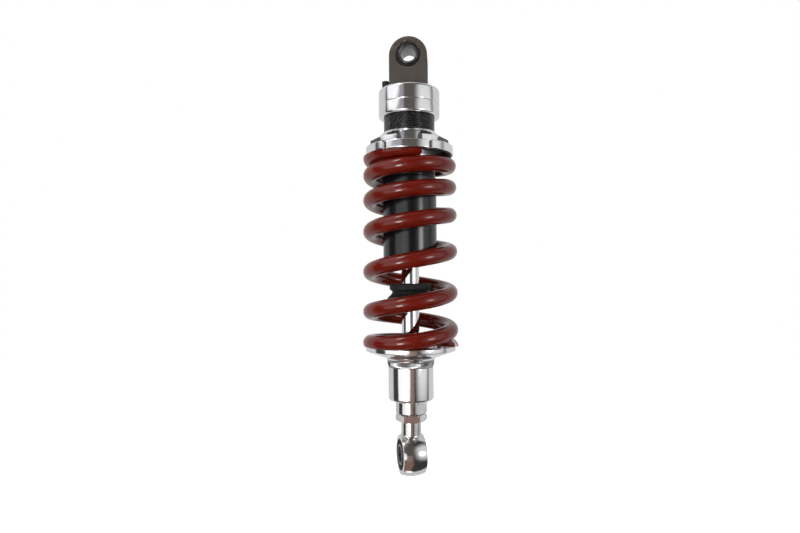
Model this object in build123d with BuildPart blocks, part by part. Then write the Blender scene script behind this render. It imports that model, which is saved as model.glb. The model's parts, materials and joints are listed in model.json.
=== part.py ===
from build123d import *
import math
import os

os.makedirs("parts", exist_ok=True)

# ---------------------------------------------------------------- driving dimensions (mm)
# The origin is the centre of the upper eye's bore. +Z runs up along the shock's axis,
# the upper bore runs along Y, and -Y is the front. Heights below the bore are negative.
eye_to_eye = 360.0
bolt_r = 7.0                  # both eyes take a 14 mm bolt
running_gap = 0.05            # radial clearance of a turning or sliding fit
seat_gap = 0.05               # axial clearance between parts that turn on each other

# upper eye, a flat tang on a spigot
tang_width, tang_thickness = 34.4, 25.0
tang_round_drop = 1.4         # centre of the rounded top, below the bore
tang_bore_r = 10.5
tang_bore_chamfer = 1.9
tang_foot_r = 18.2
tang_spigot_r, tang_spigot_length = 12.0, 10.0
upper_sleeve_r, upper_sleeve_length = 8.85, 25.4
rubber_length = 23.4

# head cap and the collar under it
head_top, head_joint, collar_bottom = -30.0, -44.3, -55.9
head_r, head_round, collar_round = 27.7, 3.0, 2.0
corner_share = 0.3            # how far a rounded corner stands off its tangent lines
head_plug_bottom = -50.0
head_groove_depth, head_groove_half = 1.7, 1.2
joint_groove = 0.5

# gas valve on the head cap
valve_x, valve_y = -21.7, 3.0
valve_stem_r, valve_cap_r = 2.4, 3.3
valve_cap_top, valve_stem_top, valve_pocket_depth = -20.0, -22.0, 9.0
valve_core_r, valve_core_length, valve_pin_r = 1.3, 7.0, 0.5
passage_x, passage_r = -15.0, 0.9

# body tube
tube_bore_r = 20.0
thread_r, thread_end = 23.1, -111.0
tube_r, tube_end = 24.25, -188.0

# spring preload rings
lock_top, lock_shoulder, lock_cone_bottom, lock_bottom = -69.9, -72.4, -77.6, -82.6
lock_top_r, lock_shoulder_r, lock_r, lock_notch_r = 24.2, 26.2, 35.8, 27.6
notch_angle = 36.0
adjuster_top, adjuster_bottom = -82.8, -90.3
adjuster_r, adjuster_slot_depth, adjuster_slot_angle = 39.6, 3.2, 6.5
ring_bore_r = thread_r + running_gap
front_angle = -86.7           # a notch faces this way, measured from +X
slot_offset = -33.0
washer_r, washer_bottom = 38.6, -91.45
spring_pilot_r, spring_pilot_bottom = 27.5, -95.5

# spring: right-hand coil, closed and ground at both ends
wire_r = 7.0
spring_top, spring_bottom = -91.5, -262.4
spring_first_centre = -89.0
coil_top_r, coil_bottom_r = 35.1, 36.2
spring_start_angle = -71.8
spring_turns = 6.8386
# pitch in mm at each number of turns down from the top: close coils at both ends
pitch_law = [(0.0, 14.0), (0.3, 13.5), (0.6, 14.0), (1.0, 16.5), (1.4, 21.0), (2.0, 23.5),
             (2.6, 26.5), (3.2, 32.0), (4.0, 38.5), (5.2, 34.5), (5.7, 30.0), (5.95, 35.5),
             (6.15, 12.5), (6.4, 7.5), (6.84, 7.5)]
points_per_turn = 12

# rod and piston, at full extension
rod_r, rod_bore_r = 8.0, 2.6
rod_shoulder, rod_tip = -158.0, -132.0
rod_stud_r = 5.0
rod_seat, rod_foot_r, rod_foot = -290.0, 6.0, -302.0
rod_bore_bottom = -284.0
piston_top, piston_bottom, piston_r = -143.4, -155.4, 19.6
shim_thickness, shim_gap, shim_count = 0.3, 0.03, 7
rebound_shim_r, rebound_shim_step = 15.0, 1.1
compression_shim_r, compression_shim_step = 15.5, 1.0
piston_nut_flat, piston_nut_height = 8.0, 6.5
stop_washer_r, bumper_r = 13.0, 12.6
seal_head_top, seal_head_bottom = -166.0, -185.5
floating_top, floating_bottom = -62.0, -76.0

# bump stop
bump_top, bump_neck, bump_lobe, bump_bottom = -206.3, -214.0, -219.0, -229.0
bump_top_r, bump_neck_r, bump_lobe_r, bump_bore_r = 18.85, 16.4, 20.8, 8.3

# lower spring seat, rebound ring and cup
seat_r, seat_rim_bottom, seat_hub_r, seat_hub_top, seat_bottom = 40.5, -266.5, 21.6, -273.0, -274.5
seat_pilot_r, seat_pilot_inner_r, seat_pilot_top = 28.6, 22.5, -257.4
ring_top, ring_bottom = -274.7, -280.9
ring_top_r, cup_r = 21.5, 20.7
spigot_r = 15.0
cup_top, cup_bottom, cup_round = -281.1, -311.5, 2.75
cup_cavity_r = 14.45
cross_pin_z, cross_pin_r, cross_pin_half = -277.8, 1.5, 17.4
window_width, window_height = 3.2, 4.8

# rod end, lock nut and lower eye
rod_end_r, rod_end_bottom, rod_end_flat, rod_end_flat_angle = 14.35, -322.7, 12.5, -33.2
nut_top, nut_bottom, nut_flat, nut_face_angle = -323.3, -330.2, 12.55, -84.0
shank_r, shank_top = 9.3, -306.5
eye_angle = 17.0              # the lower bore turns this far from +X
barrel_r, barrel_face_r, barrel_half = 19.2, 17.4, 10.5
barrel_bore_r = 13.8
race_half, ball_half = 4.5, 6.0
seal_inner_end, seal_outer_end = 6.1, 9.6
neck_round = 1.6
ball_r, ball_bore_r = 11.0, 8.2
spacer_collar_r, spacer_half = 9.2, 11.0


def ring_solid(outer_r, inner_r, top, bottom, mode=Mode.ADD):
    """A flat ring or, with no inner radius, a disc about the shock's axis."""
    with BuildSketch(Plane.XY.offset(bottom)) as section:
        Circle(outer_r)
        if inner_r:
            Circle(inner_r, mode=Mode.SUBTRACT)
    extrude(section.sketch, amount=top - bottom, mode=mode)


def turned(points, mode=Mode.ADD):
    """A turned shape about the shock's axis from (radius, height) corners."""
    with BuildSketch(Plane.XZ) as section:
        with BuildLine():
            Polyline(*points, close=True)
        make_face()
    revolve(section.sketch, axis=Axis.Z, mode=mode)


def o_ring(centre_r, height, section_r):
    """An O-ring about the shock's axis."""
    with BuildSketch(Plane.XZ) as section:
        with Locations((centre_r, height)):
            Circle(section_r)
    revolve(section.sketch, axis=Axis.Z)


def sector_cut(inner_r, outer_r, top, bottom, centre_angle, width_angle):
    """Cuts a sector of a ring with radial walls, such as a castle notch or a spanner slot."""
    reach = 2 * outer_r
    side = reach * math.tan(math.radians(width_angle / 2))
    with BuildSketch(Plane.XY.offset(bottom).rotated((0, 0, centre_angle))) as sector:
        Circle(outer_r)
        Circle(inner_r, mode=Mode.SUBTRACT)
        Polygon((0, 0), (reach, -side), (reach, side), align=None, mode=Mode.INTERSECT)
    extrude(sector.sketch, amount=top - bottom, mode=Mode.SUBTRACT)


# ---------------------------------------------------------------- upper eye
with BuildPart() as upper_eye:
    with BuildSketch(Plane.XZ):
        with Locations((0, -tang_round_drop)):
            Circle(tang_width / 2)
        with Locations((0, (head_top - tang_round_drop) / 2)):
            Rectangle(tang_width, -head_top - tang_round_drop)
    extrude(amount=tang_thickness / 2, both=True)
    side_edges = upper_eye.faces().filter_by(Axis.Y).edges().filter_by(
        lambda e: e.center().Z > head_top + 1)
    chamfer(side_edges, 0.5)
    ring_solid(tang_foot_r, 0, head_top + 1.0, head_top + seat_gap)
    ring_solid(tang_spigot_r, 0, head_top + seat_gap, head_top - tang_spigot_length)
    with BuildSketch(Plane.XZ):
        Circle(tang_bore_r)
    extrude(amount=tang_thickness, both=True, mode=Mode.SUBTRACT)
    bore_edges = upper_eye.faces().filter_by(Axis.Y).edges().filter_by(GeomType.CIRCLE).filter_by(
        lambda e: abs(e.radius - tang_bore_r) < 0.1)
    chamfer(bore_edges, tang_bore_chamfer)
upper_eye.part.label = "upper_eye"
export_step(upper_eye.part, "parts/upper_eye.step")

with BuildPart() as upper_bush_rubber:
    with BuildSketch(Plane.XZ):
        Circle(tang_bore_r)
        Circle(upper_sleeve_r + running_gap, mode=Mode.SUBTRACT)
    extrude(amount=rubber_length / 2, both=True)
    chamfer(upper_bush_rubber.edges().filter_by(GeomType.CIRCLE), 0.4)
upper_bush_rubber.part.label = "upper_bush_rubber"
export_step(upper_bush_rubber.part, "parts/upper_bush_rubber.step")

with BuildPart() as upper_sleeve:
    with BuildSketch(Plane.XZ):
        Circle(upper_sleeve_r)
        Circle(bolt_r, mode=Mode.SUBTRACT)
    extrude(amount=upper_sleeve_length / 2, both=True)
    chamfer(upper_sleeve.edges().filter_by(GeomType.CIRCLE), 0.5)
upper_sleeve.part.label = "upper_sleeve"
export_step(upper_sleeve.part, "parts/upper_sleeve.step")

# ---------------------------------------------------------------- head cap, collar, gas valve
head_oring_z = (head_joint + head_plug_bottom) / 2
with BuildPart() as head_cap:
    turned([(0, head_top), (head_r - head_round, head_top),
            (head_r - corner_share * head_round, head_top - corner_share * head_round),
            (head_r, head_top - head_round), (head_r, head_joint + joint_groove),
            (head_r - joint_groove, head_joint), (0, head_joint)])
    turned([(0, head_joint), (tube_bore_r - running_gap, head_joint),
            (tube_bore_r - running_gap, head_plug_bottom + 1),
            (tube_bore_r - 1, head_plug_bottom), (0, head_plug_bottom)])
    ring_solid(tang_spigot_r, 0, head_top, head_top - tang_spigot_length, Mode.SUBTRACT)
    ring_solid(tube_bore_r, tube_bore_r - head_groove_depth, head_oring_z + head_groove_half,
               head_oring_z - head_groove_half, Mode.SUBTRACT)
    with BuildSketch(Plane.XY.offset(head_top)):
        with Locations((valve_x, valve_y)):
            Circle(valve_stem_r)
    extrude(amount=-valve_pocket_depth, mode=Mode.SUBTRACT)
    # gas passage: across from the valve pocket, then down through the plug
    passage_z = head_top - valve_pocket_depth + 1.2
    with BuildSketch(Plane.YZ.offset(valve_x)):
        with Locations((valve_y, passage_z)):
            Circle(passage_r)
    extrude(amount=passage_x - valve_x, mode=Mode.SUBTRACT)
    with BuildSketch(Plane.XY.offset(head_plug_bottom)):
        with Locations((passage_x, valve_y)):
            Circle(passage_r)
    extrude(amount=passage_z - head_plug_bottom, mode=Mode.SUBTRACT)
head_cap.part.label = "head_cap"
export_step(head_cap.part, "parts/head_cap.step")

with BuildPart() as head_oring:
    o_ring(tube_bore_r - 0.85, head_oring_z, 0.8)
head_oring.part.label = "head_oring"
export_step(head_oring.part, "parts/head_oring.step")

with BuildPart() as lower_collar:
    turned([(ring_bore_r, head_joint), (head_r - joint_groove, head_joint),
            (head_r, head_joint - joint_groove), (head_r, collar_bottom + collar_round),
            (head_r - corner_share * collar_round, collar_bottom + corner_share * collar_round),
            (head_r - collar_round, collar_bottom), (ring_bore_r, collar_bottom)])
lower_collar.part.label = "lower_collar"
export_step(lower_collar.part, "parts/lower_collar.step")

valve_stem_bottom = head_top - valve_pocket_depth + 3.0
with BuildPart() as gas_valve:
    with BuildSketch(Plane.XY.offset(valve_stem_bottom)):
        with Locations((valve_x, valve_y)):
            Circle(valve_stem_r)
            Circle(valve_core_r, mode=Mode.SUBTRACT)
    extrude(amount=valve_stem_top - valve_stem_bottom)
gas_valve.part.label = "gas_valve"
export_step(gas_valve.part, "parts/gas_valve.step")

valve_core_bottom = valve_stem_bottom + 0.5
valve_pin_bottom = valve_core_bottom + valve_core_length
with BuildPart() as valve_core:
    with BuildSketch(Plane.XY.offset(valve_core_bottom)):
        with Locations((valve_x, valve_y)):
            Circle(valve_core_r)
    extrude(amount=valve_core_length)
    with BuildSketch(Plane.XY.offset(valve_pin_bottom)):
        with Locations((valve_x, valve_y)):
            Circle(valve_pin_r)
    extrude(amount=valve_stem_top - 1.0 - valve_pin_bottom)
valve_core.part.label = "valve_core"
export_step(valve_core.part, "parts/valve_core.step")

cap_ribs, cap_rib_r, cap_bottom = 12, 0.35, head_top + 0.4
with BuildPart() as valve_cap:
    with BuildSketch(Plane.XY.offset(cap_bottom)):
        with Locations((valve_x, valve_y)):
            Circle(valve_cap_r)
            with PolarLocations(valve_cap_r, cap_ribs):
                Circle(cap_rib_r, mode=Mode.SUBTRACT)
    extrude(amount=valve_cap_top - cap_bottom)
    chamfer(valve_cap.faces().sort_by(Axis.Z)[-1].edges(), 0.3)
    with BuildSketch(Plane.XY.offset(cap_bottom)):
        with Locations((valve_x, valve_y)):
            Circle(valve_stem_r + running_gap)
    extrude(amount=valve_stem_top + 0.3 - cap_bottom, mode=Mode.SUBTRACT)
valve_cap.part.label = "valve_cap"
export_step(valve_cap.part, "parts/valve_cap.step")

# ---------------------------------------------------------------- body tube
clip_top, clip_bottom, clip_groove_r = seal_head_bottom - 0.1, seal_head_bottom - 1.5, 21.2
with BuildPart() as body_tube:
    turned([(tube_bore_r, head_joint - 0.1), (thread_r - 0.6, head_joint - 0.1),
            (thread_r, head_joint - 0.7), (thread_r, thread_end),
            (tube_r - 0.4, thread_end), (tube_r, thread_end - 0.4),
            (tube_r, tube_end + 0.8), (tube_r - 0.8, tube_end), (tube_bore_r, tube_end)])
    ring_solid(clip_groove_r, tube_bore_r - 1, clip_top, clip_bottom, Mode.SUBTRACT)
body_tube.part.label = "body_tube"
export_step(body_tube.part, "parts/body_tube.step")

# ---------------------------------------------------------------- floating piston
floating_groove_z = (floating_top + floating_bottom) / 2
floating_groove_depth, floating_groove_half = 2.2, 1.5
dish_r, dish_depth = 14.0, 8.0
with BuildPart() as floating_piston:
    ring_solid(tube_bore_r - running_gap, 0, floating_top, floating_bottom)
    chamfer(floating_piston.edges().filter_by(GeomType.CIRCLE), 0.6)
    ring_solid(tube_bore_r, tube_bore_r - floating_groove_depth,
               floating_groove_z + floating_groove_half, floating_groove_z - floating_groove_half,
               Mode.SUBTRACT)
    ring_solid(dish_r, 0, floating_top, floating_top - dish_depth, Mode.SUBTRACT)
floating_piston.part.label = "floating_piston"
export_step(floating_piston.part, "parts/floating_piston.step")

with BuildPart() as floating_piston_oring:
    o_ring(tube_bore_r - 1.15, floating_groove_z, 1.05)
floating_piston_oring.part.label = "floating_piston_oring"
export_step(floating_piston_oring.part, "parts/floating_piston_oring.step")

# ---------------------------------------------------------------- preload rings
with BuildPart() as lock_ring:
    turned([(ring_bore_r, lock_top), (lock_top_r, lock_top), (lock_shoulder_r, lock_shoulder),
            (lock_r, lock_cone_bottom), (lock_r, lock_bottom + 0.5), (lock_r - 0.5, lock_bottom),
            (ring_bore_r, lock_bottom)])
    for notch in range(6):
        sector_cut(lock_notch_r, lock_r + 1, lock_top, lock_bottom - 1,
                   front_angle + 60 * notch, notch_angle)
lock_ring.part.label = "lock_ring"
export_step(lock_ring.part, "parts/lock_ring.step")

with BuildPart() as adjuster_ring:
    turned([(ring_bore_r, adjuster_top), (adjuster_r - 0.6, adjuster_top),
            (adjuster_r, adjuster_top - 0.6), (adjuster_r, adjuster_bottom + 0.6),
            (adjuster_r - 0.6, adjuster_bottom), (spring_pilot_r, adjuster_bottom),
            (spring_pilot_r, spring_pilot_bottom + 0.8), (spring_pilot_r - 0.8, spring_pilot_bottom),
            (ring_bore_r, spring_pilot_bottom)])
    for slot in range(6):
        sector_cut(adjuster_r - adjuster_slot_depth, adjuster_r + 1, adjuster_top + 1,
                   adjuster_bottom - 1, front_angle + slot_offset + 60 * slot, adjuster_slot_angle)
adjuster_ring.part.label = "adjuster_ring"
export_step(adjuster_ring.part, "parts/adjuster_ring.step")

with BuildPart() as thrust_washer:
    ring_solid(washer_r, spring_pilot_r + 0.4, adjuster_bottom - seat_gap, washer_bottom)
thrust_washer.part.label = "thrust_washer"
export_step(thrust_washer.part, "parts/thrust_washer.step")


# ---------------------------------------------------------------- main spring
def pitch_at(turn):
    """The coil's pitch at this many turns down from its top end."""
    for (start, low), (end, high) in zip(pitch_law, pitch_law[1:]):
        if turn <= end:
            return low + (high - low) * (turn - start) / (end - start)
    return pitch_law[-1][1]


def coil_drop(turn, step=0.01):
    """How far the wire's centre has come down after this many turns."""
    count = max(1, round(turn / step))
    width = turn / count
    return sum(pitch_at((k + 0.5) * width) for k in range(count)) * width


def coil_point(turn):
    """The wire's centre after this many turns, going down as a right-hand coil."""
    share = turn / spring_turns
    radius = coil_top_r + (coil_bottom_r - coil_top_r) * share
    angle = math.radians(spring_start_angle - 360 * turn)
    return (radius * math.cos(angle), radius * math.sin(angle), spring_first_centre - coil_drop(turn))


coil_count = round(spring_turns * points_per_turn)
coil_path = [coil_point(spring_turns * k / coil_count) for k in range(coil_count + 1)]
with BuildPart() as main_spring:
    with BuildLine() as wire_line:
        Spline(*coil_path)
    with BuildSketch(Plane(origin=wire_line.line @ 0, z_dir=wire_line.line % 0)):
        Circle(wire_r)
    sweep(path=wire_line.line)
    split(bisect_by=Plane.XY.offset(spring_top), keep=Keep.BOTTOM)
    split(bisect_by=Plane.XY.offset(spring_bottom), keep=Keep.TOP)
main_spring.part.label = "main_spring"
export_step(main_spring.part, "parts/main_spring.step")

# ---------------------------------------------------------------- seal head
wiper_bottom, wiper_top, wiper_r = seal_head_bottom, -181.5, 12.0
rod_seal_bottom, rod_seal_top, rod_seal_r = -178.0, -174.0, 12.5
guide_bottom, guide_top, guide_r = -173.0, -167.5, 9.5
head_groove_z = -176.0
with BuildPart() as seal_head:
    ring_solid(tube_bore_r - running_gap, rod_r + 0.3, seal_head_top, seal_head_bottom)
    chamfer(seal_head.edges().filter_by(GeomType.CIRCLE).filter_by(
        lambda e: e.radius > rod_r + 1), 0.6)
    ring_solid(tube_bore_r, tube_bore_r - 1.9, head_groove_z + 1.3, head_groove_z - 1.3, Mode.SUBTRACT)
    ring_solid(wiper_r, 0, wiper_top, wiper_bottom, Mode.SUBTRACT)
    ring_solid(rod_seal_r, 0, rod_seal_top, rod_seal_bottom, Mode.SUBTRACT)
    ring_solid(guide_r, 0, guide_top, guide_bottom, Mode.SUBTRACT)
seal_head.part.label = "seal_head"
export_step(seal_head.part, "parts/seal_head.step")

with BuildPart() as seal_head_oring:
    o_ring(tube_bore_r - 1.0, head_groove_z, 0.9)
seal_head_oring.part.label = "seal_head_oring"
export_step(seal_head_oring.part, "parts/seal_head_oring.step")

with BuildPart() as guide_bush:
    ring_solid(guide_r, rod_r + running_gap, guide_top, guide_bottom)
guide_bush.part.label = "guide_bush"
export_step(guide_bush.part, "parts/guide_bush.step")

with BuildPart() as rod_seal:
    turned([(rod_seal_r, rod_seal_top), (rod_seal_r, rod_seal_bottom), (10.5, rod_seal_bottom),
            (9.4, rod_seal_bottom + 1.2), (rod_r + running_gap, rod_seal_bottom + 1.6),
            (rod_r + running_gap, rod_seal_top - 1.2), (9.4, rod_seal_top)])
rod_seal.part.label = "rod_seal"
export_step(rod_seal.part, "parts/rod_seal.step")

with BuildPart() as dust_wiper:
    turned([(wiper_r, wiper_top), (wiper_r, wiper_bottom), (9.6, wiper_bottom),
            (rod_r + running_gap, wiper_bottom - 0.8), (rod_r + running_gap, wiper_bottom),
            (9.4, wiper_top)])
dust_wiper.part.label = "dust_wiper"
export_step(dust_wiper.part, "parts/dust_wiper.step")

with BuildPart() as seal_head_clip:
    ring_solid(clip_groove_r - 0.1, tube_bore_r - 2.6, clip_top - 0.05, clip_bottom + 0.05)
    sector_cut(tube_bore_r - 4, clip_groove_r + 1, clip_top, clip_bottom, 90.0, 24.0)
seal_head_clip.part.label = "seal_head_clip"
export_step(seal_head_clip.part, "parts/seal_head_clip.step")

# ---------------------------------------------------------------- rod and piston
with BuildPart() as damper_rod:
    turned([(0, rod_tip), (rod_stud_r - 0.6, rod_tip), (rod_stud_r, rod_tip - 0.6),
            (rod_stud_r, rod_shoulder), (rod_r - 0.5, rod_shoulder), (rod_r, rod_shoulder - 0.5),
            (rod_r, rod_seat), (rod_foot_r, rod_seat), (rod_foot_r, rod_foot + 0.8),
            (rod_foot_r - 0.8, rod_foot), (0, rod_foot)])
    ring_solid(rod_bore_r, 0, rod_tip, rod_bore_bottom, Mode.SUBTRACT)
    with BuildSketch(Plane.YZ):
        with Locations((0, cross_pin_z)):
            Rectangle(window_width, window_height)
    extrude(amount=rod_r + 1, both=True, mode=Mode.SUBTRACT)
damper_rod.part.label = "damper_rod"
export_step(damper_rod.part, "parts/damper_rod.step")

port_circle_r, port_r, port_count, band_margin = 11.5, 1.9, 6, 2.0
with BuildPart() as piston:
    ring_solid(piston_r, rod_stud_r, piston_top, piston_bottom)
    chamfer(piston.edges().filter_by(GeomType.CIRCLE).filter_by(lambda e: e.radius > 15), 0.5)
    band_top, band_bottom = piston_top - band_margin, piston_bottom + band_margin
    ring_solid(piston_r + 1, piston_r - 1.4, band_top, band_bottom, Mode.SUBTRACT)
    with BuildSketch(Plane.XY.offset(piston_bottom)):
        with PolarLocations(port_circle_r, port_count):
            Circle(port_r)
    extrude(amount=piston_top - piston_bottom, mode=Mode.SUBTRACT)
piston.part.label = "piston"
export_step(piston.part, "parts/piston.step")

with BuildPart() as piston_band:
    ring_solid(tube_bore_r - 0.08, piston_r - 1.35, band_top - 0.05, band_bottom + 0.05)
piston_band.part.label = "piston_band"
export_step(piston_band.part, "parts/piston_band.step")

shim_pitch = shim_thickness + shim_gap
with BuildPart() as rebound_shims:
    for k in range(shim_count):
        base = piston_top + shim_gap + shim_pitch * k
        ring_solid(rebound_shim_r - rebound_shim_step * k, rod_stud_r + running_gap,
                   base + shim_thickness, base)
rebound_shims.part.label = "rebound_shims"
export_step(rebound_shims.part, "parts/rebound_shims.step")

with BuildPart() as compression_shims:
    for k in range(shim_count):
        base = piston_bottom - shim_pitch * (k + 1)
        ring_solid(compression_shim_r - compression_shim_step * k, rod_stud_r + running_gap,
                   base + shim_thickness, base)
compression_shims.part.label = "compression_shims"
export_step(compression_shims.part, "parts/compression_shims.step")

nut_seat = piston_top + shim_gap + shim_pitch * shim_count
nut_head = nut_seat + piston_nut_height
nut_round_r = 9.3
with BuildPart() as piston_nut:
    with BuildSketch(Plane.XY.offset(nut_seat)):
        RegularPolygon(radius=piston_nut_flat, side_count=6, major_radius=False)
        Circle(rod_stud_r, mode=Mode.SUBTRACT)
    extrude(amount=piston_nut_height)
    turned([(0, nut_seat), (nut_round_r - 0.7, nut_seat), (nut_round_r, nut_seat + 0.7),
            (nut_round_r, nut_head - 0.7), (nut_round_r - 0.7, nut_head), (0, nut_head)],
           Mode.INTERSECT)
piston_nut.part.label = "piston_nut"
export_step(piston_nut.part, "parts/piston_nut.step")

stop_washer_top = piston_bottom - shim_pitch * shim_count
stop_washer_bottom = rod_shoulder - 2.0
with BuildPart() as stop_washer:
    turned([(rod_stud_r, stop_washer_top), (stop_washer_r - 3.5, stop_washer_top),
            (stop_washer_r, stop_washer_top - 1.0), (stop_washer_r, stop_washer_bottom),
            (rod_r, stop_washer_bottom), (rod_r, rod_shoulder), (rod_stud_r, rod_shoulder)])
stop_washer.part.label = "stop_washer"
export_step(stop_washer.part, "parts/stop_washer.step")

with BuildPart() as topout_bumper:
    ring_solid(bumper_r, rod_r, stop_washer_bottom, seal_head_top + 0.3)
    chamfer(topout_bumper.edges().filter_by(GeomType.CIRCLE).filter_by(
        lambda e: e.radius > bumper_r - 0.5), 1.0)
topout_bumper.part.label = "topout_bumper"
export_step(topout_bumper.part, "parts/topout_bumper.step")

# ---------------------------------------------------------------- bump stop
with BuildPart() as bump_stop:
    with BuildSketch(Plane.XZ):
        with BuildLine():
            Polyline((bump_bore_r, bump_lobe), (bump_bore_r, bump_top), (bump_top_r - 1.5, bump_top))
            RadiusArc((bump_top_r - 1.5, bump_top), (bump_top_r, bump_top - 1.5), 1.5)
            Line((bump_top_r, bump_top - 1.5), (bump_top_r, bump_top - 4.7))
            Spline((bump_top_r, bump_top - 4.7), (bump_neck_r, bump_neck), (bump_lobe_r, bump_lobe - 1.5),
                   tangents=[(0, -1), (0, -1)])
            Polyline((bump_lobe_r, bump_lobe - 1.5), (bump_lobe_r, bump_bottom + 3.0),
                     (bump_lobe_r - 3.0, bump_bottom), (bump_bore_r, bump_bottom),
                     (bump_bore_r, bump_lobe))
        make_face()
    revolve(axis=Axis.Z)
bump_stop.part.label = "bump_stop"
export_step(bump_stop.part, "parts/bump_stop.step")

# ---------------------------------------------------------------- lower spring seat
with BuildPart() as lower_spring_seat:
    turned([(rod_r + 0.5, spring_bottom), (seat_pilot_inner_r, spring_bottom),
            (seat_pilot_inner_r, seat_pilot_top), (seat_pilot_r - 1, seat_pilot_top),
            (seat_pilot_r, seat_pilot_top - 1), (seat_pilot_r, spring_bottom),
            (seat_r - 0.6, spring_bottom), (seat_r, spring_bottom - 0.6),
            (seat_r, seat_rim_bottom + 0.6), (seat_r - 0.9, seat_rim_bottom),
            (seat_hub_r + 0.8, seat_hub_top), (seat_hub_r, seat_hub_top - 0.6),
            (seat_hub_r, seat_bottom + seat_gap), (rod_r + 0.5, seat_bottom + seat_gap)])
lower_spring_seat.part.label = "lower_spring_seat"
export_step(lower_spring_seat.part, "parts/lower_spring_seat.step")

# ---------------------------------------------------------------- rebound adjuster
groove_half = window_height / 2
with BuildPart() as rebound_adjuster:
    turned([(spigot_r + running_gap, ring_top), (ring_top_r - 0.3, ring_top),
            (ring_top_r, ring_top - 0.3), (cup_r, ring_bottom),
            (spigot_r + running_gap, ring_bottom)])
    ring_solid(cross_pin_half + 0.4, spigot_r - 1, cross_pin_z + groove_half,
               cross_pin_z - groove_half, Mode.SUBTRACT)
rebound_adjuster.part.label = "rebound_adjuster"
export_step(rebound_adjuster.part, "parts/rebound_adjuster.step")

needle_r, needle_tip, needle_bottom = rod_bore_r - running_gap, -137.0, -283.0
with BuildPart() as rebound_needle:
    turned([(0, needle_tip), (0.7, needle_tip), (needle_r, needle_tip - 7),
            (needle_r, needle_bottom), (0, needle_bottom)])
    with BuildSketch(Plane.YZ):
        with Locations((0, cross_pin_z)):
            Circle(cross_pin_r)
    extrude(amount=needle_r + 1, both=True, mode=Mode.SUBTRACT)
rebound_needle.part.label = "rebound_needle"
export_step(rebound_needle.part, "parts/rebound_needle.step")

with BuildPart() as needle_cross_pin:
    with BuildSketch(Plane.YZ):
        with Locations((0, cross_pin_z)):
            Circle(cross_pin_r)
    extrude(amount=cross_pin_half, both=True)
    chamfer(needle_cross_pin.edges().filter_by(GeomType.CIRCLE), 0.3)
needle_cross_pin.part.label = "needle_cross_pin"
export_step(needle_cross_pin.part, "parts/needle_cross_pin.step")

# ---------------------------------------------------------------- cup, detent and rod end
detent_r, detent_pocket_bottom, detent_y = 1.4, -288.0, 17.6
with BuildPart() as lower_cup:
    ring_solid(cup_r, 0, cup_top, cup_bottom)
    fillet(lower_cup.edges().filter_by(GeomType.CIRCLE).sort_by(Axis.Z)[0], cup_round)
    ring_solid(spigot_r, 0, seat_bottom, cup_top)
    ring_solid(rod_r, 0, seat_bottom, rod_seat, Mode.SUBTRACT)
    ring_solid(cup_cavity_r, 0, rod_seat, cup_bottom, Mode.SUBTRACT)
    with BuildSketch(Plane.YZ):
        with Locations((0, cross_pin_z)):
            Rectangle(window_width, window_height)
    extrude(amount=spigot_r + 1, both=True, mode=Mode.SUBTRACT)
    with BuildSketch(Plane.XY.offset(cup_top)):
        with Locations((0, detent_y)):
            Circle(detent_r + running_gap)
    extrude(amount=detent_pocket_bottom - cup_top, mode=Mode.SUBTRACT)
lower_cup.part.label = "lower_cup"
export_step(lower_cup.part, "parts/lower_cup.step")

detent_ball_z = cup_top - detent_r
with BuildPart() as detent_ball:
    with Locations((0, detent_y, detent_ball_z)):
        Sphere(detent_r)
detent_ball.part.label = "detent_ball"
export_step(detent_ball.part, "parts/detent_ball.step")

detent_wire_r, detent_turns = 0.2, 5
detent_coil_bottom = detent_pocket_bottom + detent_wire_r + 0.05
detent_coil_height = detent_ball_z - detent_r - 2 * detent_wire_r - 0.1 - detent_coil_bottom
with BuildPart() as detent_spring:
    with BuildLine(Plane(origin=(0, detent_y, detent_coil_bottom))) as detent_line:
        Helix(pitch=detent_coil_height / detent_turns, height=detent_coil_height, radius=1.0)
    with BuildSketch(Plane(origin=detent_line.line @ 0, z_dir=detent_line.line % 0)):
        Circle(detent_wire_r)
    sweep(path=detent_line.line, is_frenet=True)
detent_spring.part.label = "detent_spring"
export_step(detent_spring.part, "parts/detent_spring.step")

with BuildPart() as rod_end:
    turned([(0, rod_seat - 0.05), (rod_end_r - 0.8, rod_seat - 0.05),
            (rod_end_r, rod_seat - 0.85), (rod_end_r, rod_end_bottom + 0.5),
            (rod_end_r - 0.5, rod_end_bottom), (0, rod_end_bottom)])
    ring_solid(rod_foot_r, 0, rod_seat, rod_foot - 1.0, Mode.SUBTRACT)
    ring_solid(shank_r + running_gap, 0, shank_top + 0.5, rod_end_bottom, Mode.SUBTRACT)
    for side in (0, 180):
        with BuildSketch(Plane.XY.offset(rod_end_bottom - 1).rotated((0, 0, rod_end_flat_angle + side))):
            with Locations((rod_end_flat + 5, 0)):
                Rectangle(10, 40)
        extrude(amount=cup_bottom - rod_end_bottom + 0.6, mode=Mode.SUBTRACT)
rod_end.part.label = "rod_end"
export_step(rod_end.part, "parts/rod_end.step")

# ---------------------------------------------------------------- lock nut
nut_corner_r = nut_flat / math.cos(math.radians(30))
with BuildPart() as lock_nut:
    with BuildSketch(Plane.XY.offset(nut_bottom).rotated((0, 0, nut_face_angle + 30))):
        RegularPolygon(radius=nut_flat, side_count=6, major_radius=False)
        Circle(shank_r + running_gap, mode=Mode.SUBTRACT)
    extrude(amount=nut_top - nut_bottom)
    turned([(0, nut_top), (nut_flat - 0.3, nut_top), (nut_corner_r + 0.1, nut_top - 1.4),
            (nut_corner_r + 0.1, nut_bottom + 1.4), (nut_flat - 0.3, nut_bottom), (0, nut_bottom)],
           Mode.INTERSECT)
lock_nut.part.label = "lock_nut"
export_step(lock_nut.part, "parts/lock_nut.step")

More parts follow.
